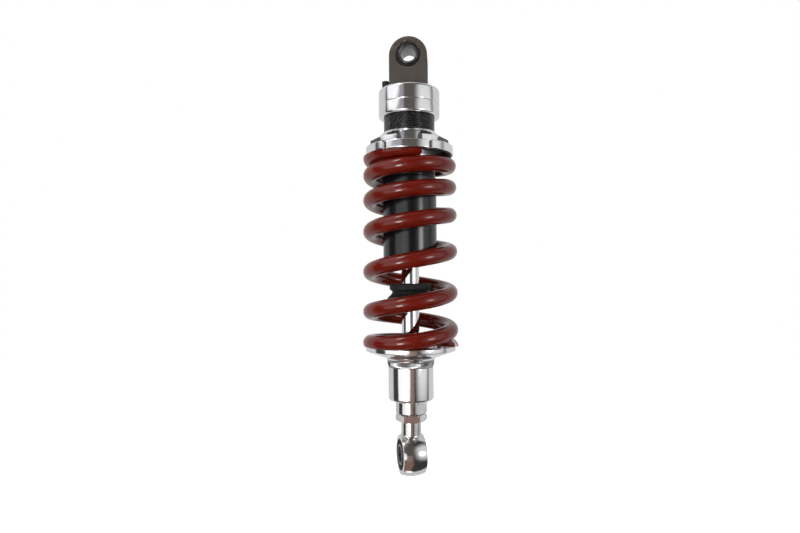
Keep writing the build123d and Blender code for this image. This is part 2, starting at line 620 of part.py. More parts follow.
# ---------------------------------------------------------------- lower eye and its bearing
eye_x, eye_y = math.cos(math.radians(eye_angle)), math.sin(math.radians(eye_angle))
eye_centre = (0, 0, -eye_to_eye)
eye_section = Plane(origin=eye_centre, x_dir=(eye_x, eye_y, 0), z_dir=(eye_y, -eye_x, 0))
eye_axis = Axis(eye_centre, (eye_x, eye_y, 0))


def eye_turned(points, mode=Mode.ADD):
    """A turned shape about the lower bore from (distance along it, radius) corners."""
    with BuildSketch(eye_section) as section:
        with BuildLine():
            Polyline(*points, close=True)
        make_face()
    revolve(section.sketch, axis=eye_axis, mode=mode)


eye_clip_inner, eye_clip_outer, eye_clip_r = race_half + 0.1, race_half + 1.2, barrel_bore_r + 0.6
with BuildPart() as lower_eye:
    with BuildSketch(eye_section):
        with BuildLine():
            Polyline((-barrel_half, barrel_face_r), (-barrel_half, 0), (barrel_half, 0),
                     (barrel_half, barrel_face_r))
            ThreePointArc((-barrel_half, barrel_face_r), (0, barrel_r), (barrel_half, barrel_face_r))
        make_face()
    revolve(axis=eye_axis)
    ring_solid(shank_r, 0, shank_top, -eye_to_eye + barrel_r - 4)
    chamfer(lower_eye.edges().filter_by(GeomType.CIRCLE).sort_by(Axis.Z)[-1], 0.8)
    neck_edges = lower_eye.edges().filter_by(
        lambda e: -eye_to_eye + 15 < e.center().Z < -eye_to_eye + 20
        and e.geom_type not in (GeomType.LINE, GeomType.CIRCLE))
    fillet(neck_edges, neck_round)
    eye_turned([(-barrel_half - 1, 0), (-barrel_half - 1, barrel_bore_r),
                (barrel_half + 1, barrel_bore_r), (barrel_half + 1, 0)], Mode.SUBTRACT)
    for side in (-1, 1):
        eye_turned([(side * eye_clip_inner, barrel_bore_r - 1), (side * eye_clip_inner, eye_clip_r),
                    (side * eye_clip_outer, eye_clip_r), (side * eye_clip_outer, barrel_bore_r - 1)],
                   Mode.SUBTRACT)
lower_eye.part.label = "lower_eye"
export_step(lower_eye.part, "parts/lower_eye.step")

race_sphere_r = ball_r + running_gap
race_lip_r = math.sqrt(race_sphere_r ** 2 - race_half ** 2)
with BuildPart() as bearing_race:
    with BuildSketch(eye_section):
        with BuildLine():
            Polyline((-race_half, race_lip_r), (-race_half, barrel_bore_r), (race_half, barrel_bore_r),
                     (race_half, race_lip_r))
            ThreePointArc((-race_half, race_lip_r), (0, race_sphere_r), (race_half, race_lip_r))
        make_face()
    revolve(axis=eye_axis)
bearing_race.part.label = "bearing_race"
export_step(bearing_race.part, "parts/bearing_race.step")

ball_face_r = math.sqrt(ball_r ** 2 - ball_half ** 2)
with BuildPart() as bearing_ball:
    with BuildSketch(eye_section):
        with BuildLine():
            Polyline((-ball_half, ball_face_r), (-ball_half, ball_bore_r), (ball_half, ball_bore_r),
                     (ball_half, ball_face_r))
            ThreePointArc((-ball_half, ball_face_r), (0, ball_r), (ball_half, ball_face_r))
        make_face()
    revolve(axis=eye_axis)
bearing_ball.part.label = "bearing_ball"
export_step(bearing_ball.part, "parts/bearing_ball.step")

clip_inner, clip_outer = eye_clip_inner + 0.05, eye_clip_outer - 0.05
clip_bore_r, clip_rim_r = 12.0, eye_clip_r - 0.1
with BuildPart() as bearing_clips:
    for side in (-1, 1):
        eye_turned([(side * clip_inner, clip_bore_r), (side * clip_inner, clip_rim_r),
                    (side * clip_outer, clip_rim_r), (side * clip_outer, clip_bore_r)])
bearing_clips.part.label = "bearing_clips"
export_step(bearing_clips.part, "parts/bearing_clips.step")

seal_root_r, seal_lip_r = 12.5, 10.6
with BuildPart() as bearing_seals:
    for side in (-1, 1):
        eye_turned([(side * seal_inner_end, barrel_bore_r), (side * seal_outer_end, barrel_bore_r),
                    (side * seal_outer_end, seal_root_r), (side * (seal_outer_end - 1.2), seal_lip_r),
                    (side * (seal_inner_end + 1.3), seal_lip_r), (side * seal_inner_end, seal_root_r)])
bearing_seals.part.label = "bearing_seals"
export_step(bearing_seals.part, "parts/bearing_seals.step")

spacer_collar_start = ball_half + seat_gap
with BuildPart() as eye_spacers:
    for side in (-1, 1):
        eye_turned([(side * 0.2, bolt_r), (side * 0.2, ball_bore_r - running_gap),
                    (side * spacer_collar_start, ball_bore_r - running_gap),
                    (side * spacer_collar_start, spacer_collar_r),
                    (side * (spacer_half - 0.5), spacer_collar_r),
                    (side * spacer_half, spacer_collar_r - 0.5),
                    (side * spacer_half, bolt_r + 0.4), (side * (spacer_half - 0.4), bolt_r)])
eye_spacers.part.label = "eye_spacers"
export_step(eye_spacers.part, "parts/eye_spacers.step")
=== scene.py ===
import json
import math

import bpy
import numpy as np
from mathutils import Euler, Matrix, Vector


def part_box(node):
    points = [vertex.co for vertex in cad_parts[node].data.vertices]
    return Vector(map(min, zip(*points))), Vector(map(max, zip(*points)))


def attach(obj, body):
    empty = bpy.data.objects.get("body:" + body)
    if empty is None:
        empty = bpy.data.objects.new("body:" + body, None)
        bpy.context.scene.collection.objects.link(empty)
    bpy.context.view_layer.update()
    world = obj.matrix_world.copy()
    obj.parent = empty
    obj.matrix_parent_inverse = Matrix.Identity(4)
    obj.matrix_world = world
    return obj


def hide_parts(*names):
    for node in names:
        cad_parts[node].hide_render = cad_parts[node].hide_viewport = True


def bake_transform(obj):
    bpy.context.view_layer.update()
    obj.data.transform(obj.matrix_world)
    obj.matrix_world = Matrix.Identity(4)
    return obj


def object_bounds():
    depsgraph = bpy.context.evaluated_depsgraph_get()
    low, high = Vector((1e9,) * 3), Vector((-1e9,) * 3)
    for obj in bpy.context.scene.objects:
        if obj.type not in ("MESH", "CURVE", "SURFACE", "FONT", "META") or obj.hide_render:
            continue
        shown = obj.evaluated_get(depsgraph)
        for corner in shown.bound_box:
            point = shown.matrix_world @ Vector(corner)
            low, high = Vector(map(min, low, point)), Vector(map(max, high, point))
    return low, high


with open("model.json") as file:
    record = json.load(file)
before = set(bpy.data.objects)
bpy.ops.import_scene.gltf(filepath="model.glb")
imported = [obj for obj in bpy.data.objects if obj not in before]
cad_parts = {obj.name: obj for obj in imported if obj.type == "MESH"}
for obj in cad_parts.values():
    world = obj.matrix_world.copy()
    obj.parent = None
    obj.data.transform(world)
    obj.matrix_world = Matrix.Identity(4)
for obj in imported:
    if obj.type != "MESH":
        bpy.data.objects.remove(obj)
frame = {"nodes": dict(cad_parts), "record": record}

MM = 0.001
nodes = frame["nodes"]
cad_low, cad_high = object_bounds()


# ---------------------------------------------------------------- materials
class Surface:
    """A Principled material under construction, with small helpers for its patterns."""

    def __init__(self, name, colour, metallic=0.0, roughness=0.4, **values):
        self.material = bpy.data.materials.new(name)
        self.material.use_nodes = True
        self.tree = self.material.node_tree
        self.shader = self.tree.nodes["Principled BSDF"]
        self.shader.inputs["Base Color"].default_value = (*colour, 1)
        self.shader.inputs["Metallic"].default_value = metallic
        self.shader.inputs["Roughness"].default_value = roughness
        for socket, value in values.items():
            self.shader.inputs[socket.replace("_", " ").title().replace("Ior", "IOR")].default_value = value
        self.colour = colour
        self.place = self.add("ShaderNodeTexCoord").outputs["Object"]
        self.normal = None

    def add(self, kind, **settings):
        node = self.tree.nodes.new(kind)
        for key, value in settings.items():
            setattr(node, key, value)
        return node

    def join(self, source, socket):
        self.tree.links.new(source, socket)

    def math(self, operation, first, second=0.0):
        node = self.add("ShaderNodeMath", operation=operation)
        for socket, value in zip(node.inputs, (first, second)):
            if isinstance(value, (int, float)):
                socket.default_value = value
            else:
                self.join(value, socket)
        return node.outputs[0]

    def noise(self, size_mm, detail=3.0, stretch=(1, 1, 1), roughness=0.55):
        """Noise with features of about this size; stretch draws them out along an axis."""
        scaled = self.add("ShaderNodeVectorMath", operation="MULTIPLY")
        self.join(self.place, scaled.inputs[0])
        scaled.inputs[1].default_value = [1 / (size_mm * MM * s) for s in stretch]
        node = self.add("ShaderNodeTexNoise")
        node.inputs["Scale"].default_value = 1.0
        node.inputs["Detail"].default_value = detail
        node.inputs["Roughness"].default_value = roughness
        self.join(scaled.outputs[0], node.inputs["Vector"])
        return node.outputs["Fac"]

    def turning(self, pitch_mm, detail=2.0):
        """Lathe marks: rings about Z that run on from a turned side to a faced end."""
        parts = self.add("ShaderNodeSeparateXYZ")
        self.join(self.place, parts.inputs[0])
        x, y, z = parts.outputs
        squares = self.math("ADD", self.math("MULTIPLY", x, x), self.math("MULTIPLY", y, y))
        radius = self.math("SQRT", squares)
        along = self.math("MULTIPLY", self.math("SUBTRACT", radius, z), 1 / (pitch_mm * MM))
        node = self.add("ShaderNodeTexNoise", noise_dimensions="1D")
        node.inputs["Scale"].default_value = 1.0
        node.inputs["Detail"].default_value = detail
        self.join(along, node.inputs["W"])
        return node.outputs["Fac"]

    def ranged(self, source, low, high, start=0.3, end=0.7):
        node = self.add("ShaderNodeMapRange")
        for key, value in (("From Min", start), ("From Max", end), ("To Min", low), ("To Max", high)):
            node.inputs[key].default_value = value
        self.join(source, node.inputs["Value"])
        return node.outputs["Result"]

    def gloss(self, source, low, high, start=0.3, end=0.7):
        """Roughness between low and high, following a pattern."""
        self.join(self.ranged(source, low, high, start, end), self.shader.inputs["Roughness"])
        return self

    def bump(self, source, depth_mm, strength=1.0):
        node = self.add("ShaderNodeBump")
        node.inputs["Strength"].default_value = strength
        node.inputs["Distance"].default_value = depth_mm * MM
        self.join(source, node.inputs["Height"])
        if self.normal:
            self.join(self.normal, node.inputs["Normal"])
        self.normal = node.outputs["Normal"]
        self.join(self.normal, self.shader.inputs["Normal"])
        return self

    def tint(self, source, other, start=0.35, end=0.65):
        """Blends the base colour towards another one where the pattern is high."""
        self.blend_colour(self.ranged(source, 0.0, 1.0, start, end), other)
        return self

    def blend_colour(self, factor, other):
        mix = self.add("ShaderNodeMix", data_type="RGBA")
        self.join(factor, mix.inputs[0])
        base = self.shader.inputs["Base Color"]
        if base.is_linked:
            self.join(base.links[0].from_socket, mix.inputs[6])
        else:
            mix.inputs[6].default_value = (*self.colour, 1)
        mix.inputs[7].default_value = (*other, 1)
        self.join(mix.outputs[2], base)

    def worn_edges(self, other, start=0.53, end=0.60, breakup_mm=1.5):
        """Bare or polished corners, broken up by noise, where the surface is most convex."""
        edge = self.add("ShaderNodeNewGeometry").outputs["Pointiness"]
        sharp = self.ranged(edge, 0.0, 1.0, start, end)
        broken = self.math("MULTIPLY", sharp, self.ranged(self.noise(breakup_mm), 0.2, 1.0))
        self.blend_colour(broken, other)
        return self


def tang_finish():
    s = Surface("tang_hard_anodised", (0.122, 0.106, 0.094), metallic=0.55, roughness=0.44)
    s.tint(s.noise(6.0), (0.104, 0.092, 0.083))
    s.tint(s.noise(0.35, detail=4), (0.165, 0.147, 0.131), 0.55, 0.8)
    s.gloss(s.noise(3.0), 0.38, 0.52)
    s.bump(s.noise(0.28, detail=4), 0.035, 0.55)
    s.worn_edges((0.24, 0.23, 0.22))
    return s.material


def polished_aluminium():
    s = Surface("polished_aluminium", (0.83, 0.83, 0.835), metallic=1.0)
    s.tint(s.noise(9.0), (0.78, 0.78, 0.80))
    s.gloss(s.turning(0.25), 0.055, 0.17)
    s.bump(s.turning(0.16), 0.0045, 0.6)
    s.bump(s.noise(0.12, stretch=(1, 1, 14)), 0.002, 0.25)
    return s.material


def satin_aluminium():
    s = Surface("satin_aluminium", (0.66, 0.66, 0.67), metallic=1.0)
    s.gloss(s.turning(0.3), 0.22, 0.40)
    s.bump(s.turning(0.2), 0.008, 0.8)
    return s.material


def black_anodised():
    s = Surface("black_anodised", (0.0045, 0.0045, 0.0052), specular_ior_level=0.55)
    s.tint(s.noise(12.0), (0.0075, 0.0075, 0.0085))
    s.gloss(s.turning(0.5), 0.16, 0.23)
    s.bump(s.turning(0.22), 0.006, 0.6)
    s.worn_edges((0.17, 0.17, 0.175), 0.515, 0.57)
    return s.material


def red_powder_coat():
    s = Surface("red_powder_coat", (0.160, 0.0090, 0.0030), roughness=0.40, specular_ior_level=0.05,
                coat_weight=0.75, coat_roughness=0.06, coat_ior=1.5)
    s.tint(s.noise(7.0), (0.140, 0.0076, 0.0026))
    s.tint(s.noise(0.5, detail=2), (0.185, 0.013, 0.006), 0.6, 0.85)
    s.gloss(s.noise(2.5), 0.34, 0.48)
    s.bump(s.noise(1.3, detail=2), 0.035, 0.35)
    return s.material


def grey_anodised():
    s = Surface("grey_anodised", (0.56, 0.56, 0.57), metallic=1.0)
    s.tint(s.noise(3.0), (0.48, 0.48, 0.49))
    s.gloss(s.noise(1.0, detail=4), 0.12, 0.22)
    s.bump(s.turning(0.2), 0.005, 0.5)
    return s.material


def hard_chrome():
    s = Surface("hard_chrome", (0.80, 0.81, 0.83), metallic=1.0)
    s.gloss(s.noise(0.5, stretch=(1, 1, 20)), 0.03, 0.075)
    s.bump(s.noise(0.10, stretch=(1, 1, 30)), 0.0012, 0.3)
    return s.material


def bright_steel():
    s = Surface("bright_steel", (0.74, 0.735, 0.73), metallic=1.0)
    s.tint(s.noise(5.0), (0.67, 0.66, 0.65))
    s.gloss(s.noise(2.0, detail=5), 0.07, 0.19)
    s.bump(s.noise(2.2, detail=2), 0.014, 0.30)
    s.bump(s.noise(0.14, detail=3), 0.003, 0.4)
    return s.material


def sleeve_steel():
    s = Surface("sleeve_steel", (0.19, 0.19, 0.20), metallic=1.0)
    s.tint(s.noise(2.0), (0.15, 0.15, 0.16))
    s.gloss(s.turning(0.3), 0.22, 0.36)
    s.bump(s.noise(0.2, detail=3), 0.004, 0.4)
    s.worn_edges((0.55, 0.55, 0.56), 0.52, 0.56)
    return s.material


def dark_bearing_steel():
    s = Surface("dark_bearing_steel", (0.085, 0.085, 0.09), metallic=0.8)
    s.gloss(s.noise(1.2, detail=4), 0.25, 0.42)
    s.bump(s.noise(0.2, detail=3), 0.006, 0.6)
    s.worn_edges((0.30, 0.30, 0.31))
    return s.material


def moulded_rubber():
    s = Surface("moulded_rubber", (0.014, 0.014, 0.0145), specular_ior_level=0.35)
    s.tint(s.noise(0.4, detail=4), (0.030, 0.029, 0.028), 0.55, 0.85)
    s.gloss(s.noise(1.5), 0.55, 0.80)
    s.bump(s.noise(0.25, detail=4), 0.05, 0.5)
    return s.material


def black_plastic():
    s = Surface("black_plastic", (0.018, 0.018, 0.019))
    s.gloss(s.noise(0.8), 0.38, 0.52)
    s.bump(s.noise(0.15, detail=3), 0.02, 0.4)
    return s.material


def black_oxide():
    s = Surface("black_oxide", (0.02, 0.02, 0.021), metallic=0.5)
    s.gloss(s.noise(1.5, detail=4), 0.32, 0.5)
    s.bump(s.turning(0.2), 0.006, 0.6)
    return s.material


def turned_brass():
    s = Surface("turned_brass", (0.60, 0.40, 0.13), metallic=1.0)
    s.gloss(s.turning(0.3), 0.18, 0.35)
    s.tint(s.noise(1.5), (0.48, 0.31, 0.11))
    return s.material


def guide_bronze():
    s = Surface("guide_bronze", (0.32, 0.20, 0.10), metallic=0.8)
    s.gloss(s.noise(0.4, detail=4), 0.35, 0.55)
    s.bump(s.noise(0.3), 0.01, 0.5)
    return s.material


def seal_polymer():
    s = Surface("seal_polymer", (0.030, 0.055, 0.040))
    s.gloss(s.noise(0.8), 0.35, 0.5)
    s.bump(s.turning(0.3), 0.01, 0.5)
    return s.material


finishes = {
    "dark_anodised": tang_finish(),
    "polished_aluminium": polished_aluminium(),
    "machined_aluminium": satin_aluminium(),
    "black_anodised": black_anodised(),
    "red_coating": red_powder_coat(),
    "chrome": hard_chrome(),
    "zinc_steel": bright_steel(),
    "bearing_steel": dark_bearing_steel(),
    "black_rubber": moulded_rubber(),
    "black_plastic": black_plastic(),
    "black_steel": black_oxide(),
    "brass": turned_brass(),
    "bronze": guide_bronze(),
    "seal_polymer": seal_polymer(),
}
slot_of = {s["node"]: s["material_slot"] for s in frame["record"]["subparts"]}
body_of = {node: body for body, members in frame["record"]["behaviour"]["bodies"].items()
           for node in members}


def smooth_shade(mesh, angle=32):
    mesh.shade_smooth()
    mesh.set_sharp_from_angle(angle=math.radians(angle))


def dress_cad_nodes():
    """Gives every CAD node the finish of its material slot; the upper sleeve's steel is darker."""
    for name, node in nodes.items():
        node.data.materials.clear()
        node.data.materials.append(finishes[slot_of[name]])
    nodes["upper_sleeve"].data.materials[0] = sleeve_steel()


# ---------------------------------------------------------------- mesh builders
def rounded(corners, steps=6):
    """A closed outline from (radius, height, rounding) corners, each rounded by an arc, in metres."""
    outline = []
    count = len(corners)
    for k, (r, z, rounding) in enumerate(corners):
        here = Vector((r, z))
        before, after = Vector(corners[k - 1][:2]), Vector(corners[(k + 1) % count][:2])
        if not rounding:
            outline.append(here)
            continue
        back, on = (before - here).normalized(), (after - here).normalized()
        half = math.acos(max(-1.0, min(1.0, back.dot(on)))) / 2
        reach = rounding / math.tan(half)
        centre = here + (back + on).normalized() * (rounding / math.sin(half))
        first, last = here + back * reach - centre, here + on * reach - centre
        sweep = first.angle_signed(last)
        for j in range(steps + 1):
            outline.append(centre + Matrix.Rotation(-sweep * j / steps, 2) @ first)
    return [(p.x * MM, p.y * MM) for p in outline]


def finer(outline, longest_mm):
    """Divides an outline's long runs, so that a pattern can follow them."""
    points = []
    for k, here in enumerate(outline):
        after = outline[(k + 1) % len(outline)]
        pieces = max(1, math.ceil(math.dist(here, after) / (longest_mm * MM)))
        points += [(here[0] + (after[0] - here[0]) * j / pieces,
                    here[1] + (after[1] - here[1]) * j / pieces) for j in range(pieces)]
    return points


def grid_mesh(name, rings, close_rings=True, cap_ends=False):
    """A mesh from equal rings of points, joined into quads; the rings themselves are closed loops."""
    count, width = len(rings), len(rings[0])
    faces = []
    for i in range(count if close_rings else count - 1):
        j = (i + 1) % count
        for k in range(width):
            m = (k + 1) % width
            faces.append((i * width + k, j * width + k, j * width + m, i * width + m))
    if cap_ends:
        faces.append(tuple(range(width)))
        faces.append(tuple(reversed(range((count - 1) * width, count * width))))
    mesh = bpy.data.meshes.new(name)
    mesh.from_pydata([tuple(p) for ring in rings for p in ring], [], faces)
    mesh.validate()
    return mesh


def show(name, mesh, node, finish=None):
    """Puts a finished mesh in the scene in place of a CAD node, which it hides."""
    piece = bpy.data.objects.new(name, mesh)
    bpy.context.scene.collection.objects.link(piece)
    mesh.materials.append(finish or finishes[slot_of[node]])
    smooth_shade(mesh)
    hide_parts(node)
    return piece


def lathe(name, node, outline, angles=None, radius=None, finish=None):
    """A turned piece about Z. radius(r, z, angle) may cut notches, flats or knurls into it."""
    if angles is None:
        angles = [2 * math.pi * k / 256 for k in range(256)]
    rings = []
    for a in angles:
        c, s = math.cos(a), math.sin(a)
        reach = [(radius(r, z, a) if radius else r, z) for r, z in outline]
        rings.append([(r * c, r * s, z) for r, z in reach])
    piece = show(name, grid_mesh(name, rings), node, finish)
    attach(piece, body_of[node])
    return piece


def off_angle(a, centre):
    """The signed angle from centre to a, between -pi and pi."""
    return (a - centre + math.pi) % (2 * math.pi) - math.pi


def notched_angles(centres, half_width, edge=0.006, base=192):
    """Evenly spaced angles, with a close pair at each side of every notch so its walls stand straight."""
    angles = {2 * math.pi * k / base for k in range(base)}
    for centre in centres:
        for side in (-1, 1):
            wall = centre + side * half_width
            angles = {a for a in angles if abs(off_angle(a, wall)) > edge * 1.6}
        for side in (-1, 1):
            for step in (-1, -0.5, 0.5, 1):
                angles.add((centre + side * half_width + step * edge) % (2 * math.pi))
    return sorted(angles)


def node_span(node):
    """(largest radius about Z, top, bottom) of a CAD node, in mm."""
    low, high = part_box(node)
    return max(high.x, -low.x, high.y, -low.y) / MM, high.z / MM, low.z / MM


dress_cad_nodes()

# ---------------------------------------------------------------- turned pieces
# Radii and heights in mm that the turned pieces share, as in the CAD.
TANG_SPIGOT_R, TUBE_BORE_R, THREAD_R, RING_BORE_R = 12.0, 20.0, 23.1, 23.15
ADJUSTER_FACE, PILOT_R = -90.3, 27.5
ROD_SHOULDER, ROD_SEAT, ROD_FOOT_R = -158.0, -290.0, 6.0
SEAT_FACE, CUP_TOP, CUP_SPIGOT_R = -262.4, -281.1, 15.0
NOTCHES, FRONT_NOTCH = 6, -86.7      # the front notch's angle from +X, in degrees


def notch_centres(offset=0.0):
    return [math.radians(FRONT_NOTCH) + math.radians(360 / NOTCHES * k + offset) for k in range(NOTCHES)]


def notch_cutter(centres, half_width, floor):
    """A radius function that cuts straight-walled notches down to the floor radius."""
    def cut(r, z, a):
        inside = any(abs(off_angle(a, c)) < half_width for c in centres)
        return min(r, floor) if inside else r
    return cut


def build_head():
    head_r, top, _ = node_span("head_cap")
    collar_r, joint, bottom = node_span("lower_collar")
    head_round, joint_round, collar_round = 3.0, 0.55, 2.0
    lathe("head_cap_turned", "head_cap", rounded([
        (TANG_SPIGOT_R, top, 0.2), (head_r, top, head_round), (head_r, joint, joint_round),
        (TANG_SPIGOT_R, joint, 0)], steps=10))
    lathe("lower_collar_turned", "lower_collar", rounded([
        (RING_BORE_R, joint, 0), (collar_r, joint, joint_round), (collar_r, bottom, collar_round),
        (RING_BORE_R, bottom, 0.2)], steps=8))


def build_lock_ring():
    outer, top, bottom = node_span("lock_ring")
    neck_r, shoulder_r, shoulder_drop, cone_drop = 24.2, 26.2, 2.5, 7.7
    notch_r, notch_half, edge = 27.6, math.radians(18), 0.45
    centres = notch_centres()
    outline = finer(rounded([
        (RING_BORE_R, top, 0), (neck_r, top, 0.4), (shoulder_r, top - shoulder_drop, 1.0),
        (outer, top - cone_drop, edge), (outer, bottom, edge), (RING_BORE_R, bottom, 0.2)]), 1.2)
    lathe("lock_ring_cut", "lock_ring", outline, notched_angles(centres, notch_half),
          notch_cutter(centres, notch_half, notch_r * MM))


def build_adjuster_ring():
    outer, top, bottom = node_span("adjuster_ring")
    slot_depth, slot_half, slot_offset, edge = 3.2, math.radians(3.25), -33, 0.7
    centres = notch_centres(slot_offset)
    outline = finer(rounded([
        (RING_BORE_R, top, 0.2), (outer, top, edge), (outer, ADJUSTER_FACE, edge),
        (PILOT_R, ADJUSTER_FACE, 0), (PILOT_R, bottom, 0.8), (RING_BORE_R, bottom, 0.2)]), 1.2)
    lathe("adjuster_ring_cut", "adjuster_ring", outline, notched_angles(centres, slot_half),
          notch_cutter(centres, slot_half, (outer - slot_depth) * MM))


def build_thrust_washer():
    outer, top, bottom = node_span("thrust_washer")
    inner, edge = 27.9, 0.35
    lathe("thrust_washer_turned", "thrust_washer", rounded([
        (inner, top, 0.2), (outer, top, edge), (outer, bottom, edge), (inner, bottom, 0.2)]))


def build_body_tube():
    """The damper's tube: a fine screw thread above, a plain satin body below."""
    outer, top, bottom = node_span("body_tube")
    thread_end, pitch, depth = -111.0, 1.5, 0.75
    relief, runout = 0.5, 1.2            # plain length at the thread's end, and its fading out
    flank, deepest = 0.42, 0.85          # half the groove's width in pitches, and its flat bottom
    outline = rounded([
        (TUBE_BORE_R, top, 0), (THREAD_R, top, 0.3), (THREAD_R, thread_end, 0), (outer, thread_end, 0.45),
        (outer, bottom, 0.8), (TUBE_BORE_R, bottom, 0.3)])
    outline = finer(outline, pitch / 8)

    def thread(r, z, a):
        height = z / MM
        if abs(r / MM - THREAD_R) > 0.02 or height > top - 1 or height < thread_end + relief:
            return r
        phase = (height / pitch - a / (2 * math.pi)) % 1.0
        groove = max(0.0, 1 - abs(phase - 0.5) / flank)
        fade = min(1.0, (height - thread_end - relief) / runout)
        return r - depth * MM * min(groove, deepest) * fade

    angles = [2 * math.pi * k / 160 for k in range(160)]
    lathe("body_tube_threaded", "body_tube", outline, angles, thread)


def build_rod():
    rod_r, top, bottom = node_span("damper_rod")
    bore_r, stud_r = 2.6, 5.0
    lathe("rod_chromed", "damper_rod", rounded([
        (bore_r, top, 0), (stud_r, top, 0.5), (stud_r, ROD_SHOULDER, 0), (rod_r, ROD_SHOULDER, 0.5),
        (rod_r, ROD_SEAT, 0), (ROD_FOOT_R, ROD_SEAT, 0), (ROD_FOOT_R, bottom, 0.6), (bore_r, bottom, 0)]))


def build_bump_stop():
    lobe_r, top, bottom = node_span("bump_stop")
    bore_r, top_r, waist_r, neck_r, foot_r = 8.3, 18.85, 16.2, 17.2, 19.0
    outline = rounded([
        (bore_r, top, 0.5), (top_r, top, 1.6), (top_r, top - 5.2, 1.4), (waist_r, top - 7.3, 1.2),
        (neck_r, top - 9.6, 1.5), (lobe_r, top - 13.0, 2.5), (lobe_r, bottom + 1.5, 2.2),
        (foot_r, bottom, 1.2), (bore_r, bottom, 0.5)], steps=8)
    lathe("bump_stop_moulded", "bump_stop", outline)


def build_spring_seat():
    rim_r, top, bottom = node_span("lower_spring_seat")
    bore_r, pilot_inner_r, pilot_r = 8.5, 22.5, 28.6
    rim_bottom, hub_top, hub_top_r, hub_r = -266.5, -273.0, 22.6, 21.6
    lathe("spring_seat_turned", "lower_spring_seat", rounded([
        (bore_r, SEAT_FACE, 0), (pilot_inner_r, SEAT_FACE, 0.3), (pilot_inner_r, top, 0.5),
        (pilot_r, top, 1.2), (pilot_r, SEAT_FACE, 0.4), (rim_r, SEAT_FACE, 0.6), (rim_r, rim_bottom, 0.9),
        (hub_top_r, hub_top, 1.2), (hub_r, bottom, 0.3), (bore_r, bottom, 0)]))


def build_rebound_ring():
    """The rebound adjuster: a tapered ring with fine upright serrations to grip."""
    outer, top, bottom = node_span("rebound_adjuster")
    bore_r, ribs, depth, plain = 15.05, 110, 0.35, 0.7
    outline = finer(rounded([
        (bore_r, top, 0), (outer, top, 0.4), (outer - 0.8, bottom, 0.4), (bore_r, bottom, 0)]), 0.8)

    def serrate(r, z, a):
        if r / MM < 20.0 or not bottom + plain < z / MM < top - plain:
            return r
        return r - depth * MM * (0.5 - 0.5 * math.cos(a * ribs))

    angles = [2 * math.pi * k / (ribs * 6) for k in range(ribs * 6)]
    lathe("rebound_adjuster_serrated", "rebound_adjuster", outline, angles, serrate, grey_anodised())


def build_cup():
    outer, top, bottom = node_span("lower_cup")
    bore_r, cavity_r, cup_round = 8.0, 14.45, 2.75
    lathe("lower_cup_turned", "lower_cup", rounded([
        (bore_r, top, 0), (CUP_SPIGOT_R, top, 0.2), (CUP_SPIGOT_R, CUP_TOP, 0), (outer, CUP_TOP, 0.3),
        (outer, bottom, cup_round), (cavity_r, bottom, 0.3), (cavity_r, ROD_SEAT, 0),
        (bore_r, ROD_SEAT, 0)], steps=10))


def build_rod_end():
    outer, top, bottom = node_span("rod_end")
    flat, facing, flats_top = 12.5 * MM, math.radians(-33.2), -312.0
    foot_bore_r, shank_bore_r, shank_top = 6.05, 9.35, -306.0

    def flats(r, z, a):
        off = min(abs(off_angle(a, facing)), abs(off_angle(a, facing + math.pi)))
        below_cup = z / MM < flats_top
        return min(r, flat / max(math.cos(off), 0.1)) if below_cup else r

    outline = finer(rounded([
        (shank_bore_r, shank_top, 0), (foot_bore_r, shank_top, 0), (foot_bore_r, top, 0),
        (outer, top, 0.8), (outer, bottom, 0.5), (shank_bore_r, bottom, 0.3)]), 1.5)
    angles = [2 * math.pi * k / 360 for k in range(360)]
    lathe("rod_end_milled", "rod_end", outline, angles, flats)


# ---------------------------------------------------------------- main spring
WIRE_R, FIRST_CENTRE = 7.0, -89.0
COIL_TOP_R, COIL_BOTTOM_R = 35.1, 36.2
START_ANGLE, TURNS = -71.8, 6.8386
PITCH_LAW = [(0.0, 14.0), (0.3, 13.5), (0.6, 14.0), (1.0, 16.5), (1.4, 21.0), (2.0, 23.5),
             (2.6, 26.5), (3.2, 32.0), (4.0, 38.5), (5.2, 34.5), (5.7, 30.0), (5.95, 35.5),
             (6.15, 12.5), (6.4, 7.5), (6.84, 7.5)]


def coil_centres(steps_per_turn=72):
    """Points on the wire's centre line, going down as a right-hand coil of changing pitch."""
    turns = np.linspace(0, TURNS, round(TURNS * steps_per_turn) + 1)
    fine = np.linspace(0, TURNS, 4001)
    pitch = np.interp(fine, *zip(*PITCH_LAW))
    drop = np.concatenate([[0], np.cumsum((pitch[1:] + pitch[:-1]) / 2 * np.diff(fine))])
    height = FIRST_CENTRE - np.interp(turns, fine, drop)
    radius = COIL_TOP_R + (COIL_BOTTOM_R - COIL_TOP_R) * turns / TURNS
    angle = np.radians(START_ANGLE - 360 * turns)
    return np.stack([radius * np.cos(angle), radius * np.sin(angle), height], axis=1) * MM


